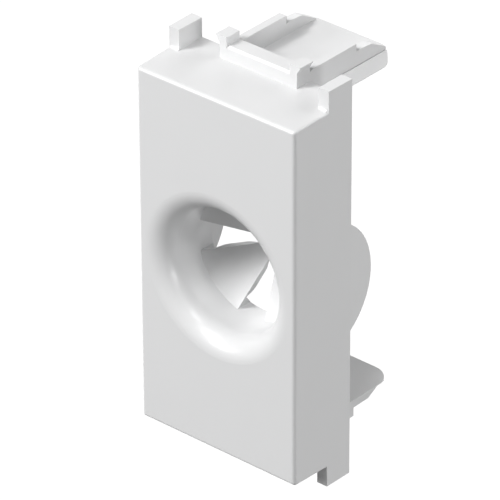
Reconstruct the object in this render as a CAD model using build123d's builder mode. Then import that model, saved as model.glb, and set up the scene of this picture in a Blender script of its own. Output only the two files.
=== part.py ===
"""Cable outlet module: one plastic moulding that snaps into a mounting frame.

Millimetres. The origin lies on the axis of the cable bore, in the plane where the corner
tabs meet the mounting frame. +X is the width, +Y runs into the wall, and +Z is up.
"""
import os
from math import radians, tan

from build123d import *

# Front plate and box walls
face_width = 22.5
face_height = 45.0
body_depth = 9.3
side_draft_angle = 1.11
end_draft_angle = 1.58
plate_thickness = 1.8
side_wall = 1.32
end_wall = 1.5
face_edge_radius = 0.45
long_edge_radius = 0.25
cavity_corner_radius = 0.8

# Cable bore with a rounded lip, in a tube that opens slightly behind the petals
bore_radius = 7.7
lip_margin = 0.95
tube_depth = 8.0
tube_wall = 1.4
tube_draft_angle = 1.0

# Grip petals: a cone cut by radial gaps, with a thin hinge next to the tube
petal_count = 4
petal_gap_angle = 30.0
petal_root_depth = 5.85
petal_slope_angle = 33.4
petal_tip_radius = 2.0
petal_thickness = 1.22
petal_back_radius = 1.3
hinge_inset = 1.2
hinge_thickness = 0.36
hinge_step = 0.52
tip_edge_thickness = 0.06
tip_flat_length = 1.56

# Round cheeks that carry the side walls on behind the body
cheek_radius = 8.42
cheek_reach = 3.85
cheek_inset = 0.26
cheek_edge_radius = 0.12

# Corner tabs that stop against the mounting frame, behind the front face
seat_depth = 5.5
tab_height = 2.69
tab_foot_radius = 0.35

# Snap latch: a bar along the end of the body with a flared knob at each end
latch_width = 11.0
bar_height = 1.93
bar_length = 2.17
bar_bevel = 0.28
knob_height = 2.95
knob_width = 1.0
knob_flare = 0.53
knob_flare_start = 0.15

# Release tongue behind the latch, with bevelled sides
tongue_width = 13.94
tongue_inset = 0.87
tongue_thickness = 1.23
tongue_side_edge = 0.08
tongue_reach = 13.15
tongue_corner_radius = 2.65

# Ribs along each tongue: a tall front run, a step and a low rear run
rib_step = 7.85
low_rib_run = 2.6
notch_length = 0.62
notch_depth = 0.16
foot_groove_width = 0.25
foot_groove_depth = 0.35

# Upper ribs, whose low run rises out of a notch and falls again
upper_rib_height = 2.44
upper_low_rib_height = 1.57
upper_low_rib_fall = 0.16
upper_rib_end_gap = 0.15

# Lower ribs, whose low run is level
lower_rib_height = 2.33
lower_low_rib_height = 1.22
lower_rib_end_gap = 0.5

# Sizes that follow from the ones above
half_width = face_width / 2
half_height = face_height / 2
inner_x = half_width - side_wall
inner_z = half_height - end_wall
tab_top = half_height + tab_height
latch_half = latch_width / 2
rib_inner = latch_half - knob_width
front_y = -seat_depth
plate_back = front_y + plate_thickness
body_back = front_y + body_depth
tube_back = front_y + tube_depth
petal_root = front_y + petal_root_depth
bar_front = body_back - bar_length
bar_top = half_height + bar_height
knob_top = half_height + knob_height
tongue_half = tongue_width / 2
tongue_top = half_height - tongue_inset
tongue_bottom = tongue_top - tongue_thickness
tongue_end = body_back + tongue_reach
step_y = body_back + rib_step
lip_radius = half_width - lip_margin - bore_radius
petal_fall = tan(radians(petal_slope_angle))
hinge_radius = bore_radius - hinge_inset
front_plane = Plane.back.offset(front_y)


def side_at(y):
    """Half width of the drafted body at a distance along the bore axis."""
    return half_width + (y - front_y) * tan(radians(side_draft_angle))


def top_at(y):
    """Half height of the drafted body at a distance along the bore axis."""
    return half_height + (y - front_y) * tan(radians(end_draft_angle))


def petal_front(radius):
    """Place along the bore axis of the petals' cone-shaped front at a radius from it."""
    return petal_root + (bore_radius - radius) * petal_fall


# Corner tabs: the side walls carried on past the ends of the body
with BuildPart() as corner_tabs:
    with BuildSketch(Plane.YZ.offset(inner_x)):
        with Locations((0, inner_z)):
            Rectangle(body_back, tab_top - inner_z, align=Align.MIN)
    extrude(amount=side_wall)
    draft(corner_tabs.faces().sort_by(Axis.X)[-1], front_plane, -side_draft_angle)

    # Hollow round at the foot, up to where the body's long edge is rounded off
    with BuildSketch(Plane.YZ.offset(inner_x)):
        with BuildLine():
            foot_front = (-tab_foot_radius, top_at(-tab_foot_radius))
            foot_top = (0, foot_front[1] + tab_foot_radius)
            TangentArc(foot_top, foot_front, tangent=(0, -1))
            Polyline(foot_front, (-tab_foot_radius, inner_z), (0, inner_z), foot_top)
        make_face()
    extrude(amount=side_at(0) - long_edge_radius - inner_x)
    mirror(about=Plane.YZ)
    mirror(about=Plane.XY)

def snap_latch(rib_height, low_rib_height, low_notch_depth, low_rib_fall, rib_end_gap):
    """A latch with its release tongue, drawn for the upper end of the body."""
    rib_top = tongue_top + rib_height
    low_rib_top = tongue_top + low_rib_height
    with BuildPart() as latch:
        # Tongue: bevelled sides, and a small groove along the foot of each rib
        bevel_fall = (tongue_thickness - tongue_side_edge) / (tongue_half - latch_half)
        groove_edge = latch_half + foot_groove_width
        with BuildSketch(Plane.back.offset(plate_back)):
            with BuildLine():
                Polyline(
                    (0, tongue_bottom),
                    (tongue_half, tongue_bottom),
                    (tongue_half, tongue_bottom + tongue_side_edge),
                    (groove_edge, tongue_top - foot_groove_width * bevel_fall),
                    (latch_half, tongue_top - foot_groove_depth),
                    (latch_half, tongue_top),
                    (0, tongue_top),
                )
                mirror(about=Plane.YZ)
            make_face()
        extrude(amount=tongue_end - plate_back)

        # Ribs, drawn from the side
        with BuildSketch(Plane.YZ.offset(rib_inner)):
            with BuildLine():
                Polyline(
                    (bar_front, tongue_bottom),
                    (bar_front, rib_top - notch_depth),
                    (body_back, rib_top - notch_depth),
                    (body_back + notch_length, rib_top),
                    (step_y, rib_top),
                    (step_y, low_rib_top - low_notch_depth),
                    (step_y + notch_length, low_rib_top),
                    (step_y + low_rib_run, low_rib_top - low_rib_fall),
                    (tongue_end - rib_end_gap, tongue_top),
                    (tongue_end - rib_end_gap, tongue_bottom),
                    close=True,
                )
            make_face()
        extrude(amount=knob_width)
        mirror(about=Plane.YZ)

        # The tongue's rounded rear corners, seen from above
        with BuildSketch(Plane.XY.offset(tongue_bottom)) as tongue_plan:
            with Locations((0, plate_back)):
                Rectangle(tongue_width, tongue_end - plate_back, align=(Align.CENTER, Align.MIN))
            rear_corners = tongue_plan.vertices().group_by(Axis.Y)[-1]
            fillet(rear_corners, tongue_corner_radius)
        extrude(amount=rib_top - tongue_bottom, mode=Mode.INTERSECT)

        # Bar with a bevelled front edge
        with BuildSketch(Plane.YZ):
            with BuildLine():
                Polyline(
                    (bar_front, inner_z),
                    (bar_front, bar_top - bar_bevel),
                    (bar_front + bar_bevel, bar_top),
                    (body_back, bar_top),
                    (body_back, inner_z),
                    close=True,
                )
            make_face()
        extrude(amount=latch_half, both=True)

        # Knobs, whose outer sides flare above the bar
        with BuildSketch(Plane.back.offset(bar_front)):
            with BuildLine():
                Polyline(
                    (rib_inner, inner_z),
                    (latch_half, inner_z),
                    (latch_half, bar_top + knob_flare_start),
                    (latch_half + knob_flare, knob_top),
                    (rib_inner, knob_top),
                    close=True,
                )
            make_face()
            mirror(about=Plane.YZ)
        extrude(amount=bar_length)
    return latch.part


upper_latch = snap_latch(
    rib_height=upper_rib_height,
    low_rib_height=upper_low_rib_height,
    low_notch_depth=notch_depth,
    low_rib_fall=upper_low_rib_fall,
    rib_end_gap=upper_rib_end_gap,
)
lower_latch = snap_latch(
    rib_height=lower_rib_height,
    low_rib_height=lower_low_rib_height,
    low_notch_depth=0,
    low_rib_fall=0,
    rib_end_gap=lower_rib_end_gap,
)

# Cone of petals, drawn as one radial section and turned about the bore axis
with BuildPart() as petals:
    with BuildSketch(Plane.XY) as petal_section:
        with BuildLine():
            hinge_back = petal_front(hinge_radius) + hinge_thickness
            shoulder_radius = hinge_radius - hinge_step
            shoulder = (shoulder_radius, petal_front(shoulder_radius) + petal_thickness)
            tip_back = petal_front(petal_tip_radius) + tip_edge_thickness
            flat_end = (petal_tip_radius + tip_flat_length, tip_back)
            Polyline(
                (bore_radius, petal_root),
                (petal_tip_radius, petal_front(petal_tip_radius)),
                (petal_tip_radius, tip_back),
                flat_end,
                shoulder,
                (hinge_radius, hinge_back),
                (bore_radius, tube_back),
                (bore_radius + tube_wall / 2, tube_back),
                (bore_radius + tube_wall / 2, petal_root),
                close=True,
            )
        make_face()
        back_corners = [petal_section.vertices().sort_by_distance(at)[0] for at in (flat_end, shoulder)]
        fillet(back_corners, petal_back_radius)
    revolve(axis=Axis.Y)

    # Gaps between the petals
    gap_reach = bore_radius + tube_wall
    gap_half = gap_reach * tan(radians(petal_gap_angle / 2))
    with BuildSketch(front_plane):
        with PolarLocations(0, petal_count):
            Polygon((0, 0), (gap_reach, -gap_half), (gap_reach, gap_half), align=None)
    extrude(amount=face_width, mode=Mode.SUBTRACT)

# The whole moulding
with BuildPart() as outlet_body:
    # Drafted box, wider and taller at the back
    with BuildSketch(front_plane):
        Rectangle(face_width, face_height)
    extrude(amount=body_depth)
    draft(outlet_body.faces().filter_by(Axis.X), front_plane, -side_draft_angle)
    draft(outlet_body.faces().filter_by(Axis.Z), front_plane, -end_draft_angle)
    front_edges = outlet_body.faces().sort_by(Axis.Y)[0].edges()
    back_edges = outlet_body.faces().sort_by(Axis.Y)[-1].edges()
    fillet(outlet_body.edges() - front_edges - back_edges, long_edge_radius)
    fillet(outlet_body.faces().sort_by(Axis.Y)[0].edges(), face_edge_radius)

    # Open back
    with BuildSketch(Plane.back.offset(plate_back)):
        RectangleRounded(2 * inner_x, 2 * inner_z, cavity_corner_radius)
    extrude(amount=body_depth, mode=Mode.SUBTRACT)

    # Round cheeks behind the side walls
    with BuildSketch(Plane.YZ.offset(inner_x)):
        with Locations((body_back + cheek_reach - cheek_radius, 0)):
            Circle(cheek_radius)
        with Locations((plate_back, 0)):
            Rectangle(
                2 * cheek_radius,
                2 * cheek_radius,
                align=(Align.MIN, Align.CENTER),
                mode=Mode.INTERSECT,
            )
    extrude(amount=side_at(body_back) - cheek_inset - inner_x)
    cheek_rims = outlet_body.edges().filter_by(GeomType.CIRCLE).group_by(Axis.Y)[-1]
    fillet(cheek_rims, cheek_edge_radius)
    mirror(about=Plane.YZ)

    # Tube around the bore, whose mouth is turned with a round lip
    with BuildSketch(front_plane):
        Circle(bore_radius + tube_wall)
    extrude(amount=tube_depth)
    with BuildSketch(Plane.XY):
        with BuildLine():
            lip_start = (bore_radius + lip_radius, front_y)
            lip_end = (bore_radius, front_y + lip_radius)
            TangentArc(lip_start, lip_end, tangent=(-1, 0))
            Polyline(lip_end, (bore_radius, petal_root), (0, petal_root), (0, front_y), lip_start)
        make_face()
    revolve(axis=Axis.Y, mode=Mode.SUBTRACT)
    with BuildSketch(Plane.back.offset(petal_root)):
        Circle(bore_radius)
    extrude(amount=tube_back - petal_root, taper=-tube_draft_angle, mode=Mode.SUBTRACT)
    add(petals.part)

    # Tabs at the four corners, and a latch at each end
    add(corner_tabs.part)
    add(upper_latch)
    mirror(lower_latch, about=Plane.XY)

outlet_body.part.label = "outlet_body"
os.makedirs("parts", exist_ok=True)
export_step(outlet_body.part, "parts/outlet_body.step")
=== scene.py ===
"""Looks of a cable outlet module: its white moulded plastic, the studio round it and the camera.

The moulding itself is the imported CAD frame. This file gives it its finish and lights it.
"""
import math

import bmesh
import bpy
from mathutils import Matrix, Vector


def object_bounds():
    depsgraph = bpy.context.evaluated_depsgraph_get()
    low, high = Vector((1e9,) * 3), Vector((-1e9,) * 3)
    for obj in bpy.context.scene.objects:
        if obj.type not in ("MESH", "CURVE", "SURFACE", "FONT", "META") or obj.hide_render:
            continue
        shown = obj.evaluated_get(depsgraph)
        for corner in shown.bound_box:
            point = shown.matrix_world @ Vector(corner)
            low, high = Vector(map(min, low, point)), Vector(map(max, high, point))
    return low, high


bl_info = {
    "name": "Cable outlet module looks",
    "version": (1, 0, 0),
    "blender": (4, 5, 0),
    "location": "View3D > Sidebar > Cable outlet",
    "description": "Finishes the moulding of a cable outlet module and sets up its studio",
    "category": "3D View",
}

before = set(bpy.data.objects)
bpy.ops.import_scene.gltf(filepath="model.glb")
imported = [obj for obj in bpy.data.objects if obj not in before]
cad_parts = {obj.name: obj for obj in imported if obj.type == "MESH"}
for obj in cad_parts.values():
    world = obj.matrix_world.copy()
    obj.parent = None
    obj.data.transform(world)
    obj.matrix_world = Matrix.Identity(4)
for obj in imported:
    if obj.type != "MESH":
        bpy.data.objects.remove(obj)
cad_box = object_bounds()

MM = 0.001
BODY = "outlet_body"
WHITE = (1.0, 1.0, 1.0, 1.0)

# How finely the grain's and the flow marks' noise is broken up, and the noise's middle value
GRAIN_DETAIL = 2.0
FLOW_DETAIL = 3.0
NOISE_MIDDLE = 0.5

# Each softbox hangs this far from the origin, in metres
LAMP_DISTANCE = 1.0

# The camera's film, and in metres the nearest and farthest that it sees
FILM_WIDTH_MM = 36.0
SIGHT_FROM = 0.01
SIGHT_TO = 50.0

# The front face lies this far before the origin, which is in the tabs' seating plane
FRONT_FACE_Y = cad_box[0][1]

# Softboxes: name, azimuth and elevation of the light seen from the object in degrees,
# width in metres and power in watts. Azimuth 0 is straight in front, 90 to the right.
SOFTBOXES = (
    ("key_light", -30.0, 40.0, 0.2, 4.2),
    ("low_key_light", -40.0, 20.0, 0.2, 3.9),
    ("high_key_light", -30.0, 50.0, 0.4, 3.6),
    ("top_fill", 30.0, 60.0, 0.2, 2.0),
    ("front_right_light", 72.0, 8.0, 0.2, 2.0),
    ("right_light", 90.0, 5.0, 0.4, 1.5),
    ("low_rear_right_light", 135.0, 10.0, 0.6, 1.8),
    ("high_rear_right_light", 135.0, 45.0, 0.6, 2.7),
    ("rear_left_fill", -150.0, 10.0, 0.6, 2.0),
)


class Value:
    """A shader socket that takes part in Python sums."""

    def __init__(self, tree, socket):
        self.tree = tree
        self.socket = socket

    def node(self, kind, settings=None, **sockets):
        """Adds a node, sets it up, feeds its sockets and returns it."""
        made = self.tree.nodes.new(kind)
        for name, value in (settings or {}).items():
            setattr(made, name, value)
        for name, value in sockets.items():
            key = int(name[1:]) if name[1:].isdigit() else name.replace("_", " ")
            socket = made.inputs[key]
            if isinstance(value, Value):
                self.tree.links.new(value.socket, socket)
            else:
                socket.default_value = value
        return made

    def sum(self, operation, first, second):
        """One Math node on two values or numbers."""
        made = self.node("ShaderNodeMath", {"operation": operation}, i0=first, i1=second)
        return Value(self.tree, made.outputs[0])

    def __add__(self, other):
        return self.sum("ADD", self, other)

    def __radd__(self, other):
        return self.sum("ADD", other, self)

    def __sub__(self, other):
        return self.sum("SUBTRACT", self, other)

    def __rsub__(self, other):
        return self.sum("SUBTRACT", other, self)

    def __mul__(self, other):
        return self.sum("MULTIPLY", self, other)

    def __rmul__(self, other):
        return self.sum("MULTIPLY", other, self)


class OutletPlastic(bpy.types.PropertyGroup):
    """Finish of the moulding."""

    colour: bpy.props.FloatVectorProperty(
        name="Colour",
        description="Colour of the white plastic",
        subtype="COLOR",
        size=3,
        min=0.0,
        max=1.0,
        default=(0.703, 0.705, 0.708),
    )
    roughness: bpy.props.FloatProperty(
        name="Roughness",
        description="How matt the moulded surface is",
        subtype="FACTOR",
        min=0.0,
        max=1.0,
        default=0.29,
    )
    grain: bpy.props.FloatProperty(
        name="Grain",
        description="Width of the fine grain that the mould leaves",
        subtype="DISTANCE",
        unit="LENGTH",
        min=0.01 * MM,
        default=0.12 * MM,
    )
    grain_depth: bpy.props.FloatProperty(
        name="Grain depth",
        description="Depth of the fine grain",
        subtype="DISTANCE",
        unit="LENGTH",
        min=0.0,
        default=0.0008 * MM,
    )
    flow: bpy.props.FloatProperty(
        name="Flow marks",
        description="Width of the faint clouds that the plastic leaves as it fills the mould",
        subtype="DISTANCE",
        unit="LENGTH",
        min=0.1 * MM,
        default=6.0 * MM,
    )
    flow_shade: bpy.props.FloatProperty(
        name="Flow shade",
        description="How much darker the plastic is where the clouds are thickest",
        subtype="FACTOR",
        min=0.0,
        max=1.0,
        default=0.02,
    )
    flow_gloss: bpy.props.FloatProperty(
        name="Flow gloss",
        description="How much the roughness changes from cloud to cloud",
        subtype="FACTOR",
        min=0.0,
        max=1.0,
        default=0.05,
    )
    refraction: bpy.props.FloatProperty(
        name="Refraction",
        description="Index of refraction of the plastic, which sets how strongly it reflects",
        min=1.0,
        default=1.49,
    )


class OutletStudio(bpy.types.PropertyGroup):
    """Room, floor and camera round the moulding."""

    floor_drop: bpy.props.FloatProperty(
        name="Floor drop",
        description="Height of the moulding's lowest edge above the floor",
        subtype="DISTANCE",
        unit="LENGTH",
        min=0.0,
        default=60.0 * MM,
    )
    floor_size: bpy.props.FloatProperty(
        name="Floor size",
        description="Side of the square floor",
        subtype="DISTANCE",
        unit="LENGTH",
        min=0.1,
        default=8.0,
    )
    floor_grey: bpy.props.FloatProperty(
        name="Floor shade",
        description="How much light the floor throws back",
        subtype="FACTOR",
        min=0.0,
        max=1.0,
        default=0.1,
    )
    floor_glow: bpy.props.FloatProperty(
        name="Floor glow",
        description="Light added to the floor where it is seen or mirrored, which makes it white",
        subtype="FACTOR",
        min=0.0,
        max=1.0,
        default=0.95,
    )
    ambient: bpy.props.FloatProperty(
        name="Ambient",
        description="Strength of the even light from all round",
        min=0.0,
        default=0.0,
    )
    lens: bpy.props.FloatProperty(
        name="Lens",
        description="Focal length of the camera in millimetres",
        min=1.0,
        default=363.35,
    )
    azimuth: bpy.props.FloatProperty(
        name="Azimuth",
        description="Place of the camera round the moulding, from straight in front",
        subtype="ANGLE",
        unit="ROTATION",
        default=math.radians(40.919),
    )
    elevation: bpy.props.FloatProperty(
        name="Elevation",
        description="Height of the camera above the level",
        subtype="ANGLE",
        unit="ROTATION",
        default=math.radians(30.957),
    )
    roll: bpy.props.FloatProperty(
        name="Roll",
        description="Lean of the camera to one side",
        subtype="ANGLE",
        unit="ROTATION",
        default=math.radians(-0.2423),
    )
    distance: bpy.props.FloatProperty(
        name="Distance",
        description="Distance of the camera from the middle of the front face",
        subtype="DISTANCE",
        unit="LENGTH",
        min=0.01,
        default=552.4 * MM,
    )
    aim_right: bpy.props.FloatProperty(
        name="Aim right",
        description="How far the view's centre lies right of the middle of the front face",
        subtype="DISTANCE",
        unit="LENGTH",
        default=3.71 * MM,
    )
    aim_up: bpy.props.FloatProperty(
        name="Aim up",
        description="How far the view's centre lies above the middle of the front face",
        subtype="DISTANCE",
        unit="LENGTH",
        default=3.143 * MM,
    )


def directions(azimuth, elevation):
    """Right, up and back of someone who looks at the moulding from that side."""
    back = Vector(
        (
            math.sin(azimuth) * math.cos(elevation),
            -math.cos(azimuth) * math.cos(elevation),
            math.sin(elevation),
        )
    )
    right = Vector((math.cos(azimuth), math.sin(azimuth), 0.0))
    return right, back.cross(right), back


def seen_or_mirrored(shade):
    """1 where a ray comes from the camera, a gloss or a clear part, otherwise 0."""
    rays = shade.node("ShaderNodeLightPath").outputs
    kinds = ("Is Camera Ray", "Is Glossy Ray", "Is Transmission Ray")
    camera, gloss, clear = (Value(shade.tree, rays[kind]) for kind in kinds)
    return camera + gloss + clear


def empty_material(name):
    """A material with nodes, cleared, and the start of its sums."""
    material = bpy.data.materials.new(name)
    material.use_nodes = True
    material.node_tree.nodes.clear()
    return material, Value(material.node_tree, None)


class OUTLET_OT_finish_moulding(bpy.types.Operator):
    """Gives the moulding its white satin plastic"""

    bl_idname = "outlet.finish_moulding"
    bl_label = "Finish the moulding"

    def execute(self, context):
        looks = context.scene.outlet_plastic
        material, shade = empty_material("white_moulded_plastic")
        place = Value(shade.tree, shade.node("ShaderNodeTexCoord").outputs["Object"])
        grain = self.noise(shade, place, looks.grain, GRAIN_DETAIL)
        flow = self.noise(shade, place, looks.flow, FLOW_DETAIL)
        shaded = [part * (1 - looks.flow_shade) for part in looks.colour]
        clouded = Value(
            shade.tree,
            shade.node(
                "ShaderNodeMix",
                {"data_type": "RGBA"},
                Factor=flow,
                A=(*looks.colour, 1.0),
                B=(*shaded, 1.0),
            ).outputs["Result"],
        )
        bump = shade.node("ShaderNodeBump", Height=grain, Distance=looks.grain_depth, Strength=1.0)
        surface = shade.node(
            "ShaderNodeBsdfPrincipled",
            Base_Color=clouded,
            Roughness=looks.roughness + looks.flow_gloss * (flow - NOISE_MIDDLE),
            Normal=Value(shade.tree, bump.outputs[0]),
            IOR=looks.refraction,
        )
        output = shade.node("ShaderNodeOutputMaterial")
        shade.tree.links.new(surface.outputs[0], output.inputs["Surface"])
        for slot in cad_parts[BODY].material_slots:
            slot.material = material
        return {"FINISHED"}

    def noise(self, shade, place, width, detail):
        """Soft spots of about that width, as a value from 0 to 1."""
        spots = shade.node("ShaderNodeTexNoise", Vector=place, Scale=1 / width, Detail=detail)
        return Value(shade.tree, spots.outputs[0])


class OUTLET_OT_set_studio(bpy.types.Operator):
    """Lays the floor, sets the lights and places the camera"""

    bl_idname = "outlet.set_studio"
    bl_label = "Set the studio"

    def execute(self, context):
        studio = context.scene.outlet_studio
        self.lay_floor(context.scene, studio)
        self.light_room(context.scene, studio)
        for softbox in SOFTBOXES:
            self.hang_softbox(context.scene, *softbox)
        self.place_camera(context.scene, studio)
        context.scene.view_settings.view_transform = "Standard"
        return {"FINISHED"}

    def lay_floor(self, scene, studio):
        """A pale floor that stays white to the camera."""
        mesh = bpy.data.meshes.new("floor")
        shape = bmesh.new()
        bmesh.ops.create_grid(shape, x_segments=1, y_segments=1, size=studio.floor_size / 2)
        level = cad_box[0][2] - studio.floor_drop
        bmesh.ops.translate(shape, verts=shape.verts, vec=(0.0, 0.0, level))
        shape.to_mesh(mesh)
        shape.free()
        floor = bpy.data.objects.new("floor", mesh)
        scene.collection.objects.link(floor)
        material, shade = empty_material("pale_floor")
        grey = studio.floor_grey
        matt = shade.node("ShaderNodeBsdfDiffuse", Color=(grey, grey, grey, 1.0))
        white = shade.node("ShaderNodeEmission", Strength=studio.floor_glow)
        both = shade.node("ShaderNodeAddShader")
        shade.tree.links.new(matt.outputs[0], both.inputs[0])
        shade.tree.links.new(white.outputs[0], both.inputs[1])
        pick = shade.node("ShaderNodeMixShader", Fac=seen_or_mirrored(shade))
        shade.tree.links.new(matt.outputs[0], pick.inputs[1])
        shade.tree.links.new(both.outputs[0], pick.inputs[2])
        output = shade.node("ShaderNodeOutputMaterial")
        shade.tree.links.new(pick.outputs[0], output.inputs["Surface"])
        mesh.materials.append(material)

    def light_room(self, scene, studio):
        """Even light from all round, and white wherever it is seen or mirrored."""
        world = bpy.data.worlds.new("room")
        world.use_nodes = True
        world.node_tree.nodes.clear()
        shade = Value(world.node_tree, None)
        even = shade.node("ShaderNodeBackground", Color=WHITE, Strength=studio.ambient)
        white = shade.node("ShaderNodeBackground", Color=WHITE, Strength=1.0)
        pick = shade.node("ShaderNodeMixShader", Fac=seen_or_mirrored(shade))
        shade.tree.links.new(even.outputs[0], pick.inputs[1])
        shade.tree.links.new(white.outputs[0], pick.inputs[2])
        output = shade.node("ShaderNodeOutputWorld")
        shade.tree.links.new(pick.outputs[0], output.inputs["Surface"])
        scene.world = world

    def hang_softbox(self, scene, name, azimuth, elevation, width, power):
        """A square soft light that faces the moulding."""
        lamp = bpy.data.lights.new(name, "AREA")
        lamp.size = width
        lamp.energy = power
        right, up, back = directions(math.radians(azimuth), math.radians(elevation))
        holder = bpy.data.objects.new(name, lamp)
        turn = Matrix((right, up, back)).transposed().to_4x4()
        holder.matrix_world = Matrix.Translation(back * LAMP_DISTANCE) @ turn
        scene.collection.objects.link(holder)

    def place_camera(self, scene, studio):
        """The camera at the photograph's angle."""
        right, up, back = directions(studio.azimuth, studio.elevation)
        leaned_right = right * math.cos(studio.roll) + up * math.sin(studio.roll)
        leaned_up = up * math.cos(studio.roll) - right * math.sin(studio.roll)
        middle = Vector((0.0, FRONT_FACE_Y, 0.0))
        spot = middle + leaned_right * studio.aim_right + leaned_up * studio.aim_up
        spot += back * studio.distance
        lens = bpy.data.cameras.new("camera")
        lens.lens = studio.lens
        lens.sensor_width = FILM_WIDTH_MM
        lens.clip_start = SIGHT_FROM
        lens.clip_end = SIGHT_TO
        camera = bpy.data.objects.new("camera", lens)
        turn = Matrix((leaned_right, leaned_up, back)).transposed().to_4x4()
        camera.matrix_world = Matrix.Translation(spot) @ turn
        scene.collection.objects.link(camera)
        scene.camera = camera


class OUTLET_PT_looks(bpy.types.Panel):
    """Lists the moulding's finish and the studio"""

    bl_label = "Cable outlet"
    bl_idname = "OUTLET_PT_looks"
    bl_space_type = "VIEW_3D"
    bl_region_type = "UI"
    bl_category = "Cable outlet"

    def draw(self, context):
        for group in (context.scene.outlet_plastic, context.scene.outlet_studio):
            for name in group.__annotations__:
                self.layout.prop(group, name)
        for operator in (OUTLET_OT_finish_moulding, OUTLET_OT_set_studio):
            self.layout.operator(operator.bl_idname)


CLASSES = (
    OutletPlastic,
    OutletStudio,
    OUTLET_OT_finish_moulding,
    OUTLET_OT_set_studio,
    OUTLET_PT_looks,
)


def register():
    for made in CLASSES:
        bpy.utils.register_class(made)
    bpy.types.Scene.outlet_plastic = bpy.props.PointerProperty(type=OutletPlastic)
    bpy.types.Scene.outlet_studio = bpy.props.PointerProperty(type=OutletStudio)


def unregister():
    del bpy.types.Scene.outlet_plastic
    del bpy.types.Scene.outlet_studio
    for made in reversed(CLASSES):
        bpy.utils.unregister_class(made)


def main():
    """Registers the add-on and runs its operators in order."""
    register()
    bpy.ops.outlet.finish_moulding()
    bpy.ops.outlet.set_studio()


if __name__ == "__main__":
    main()
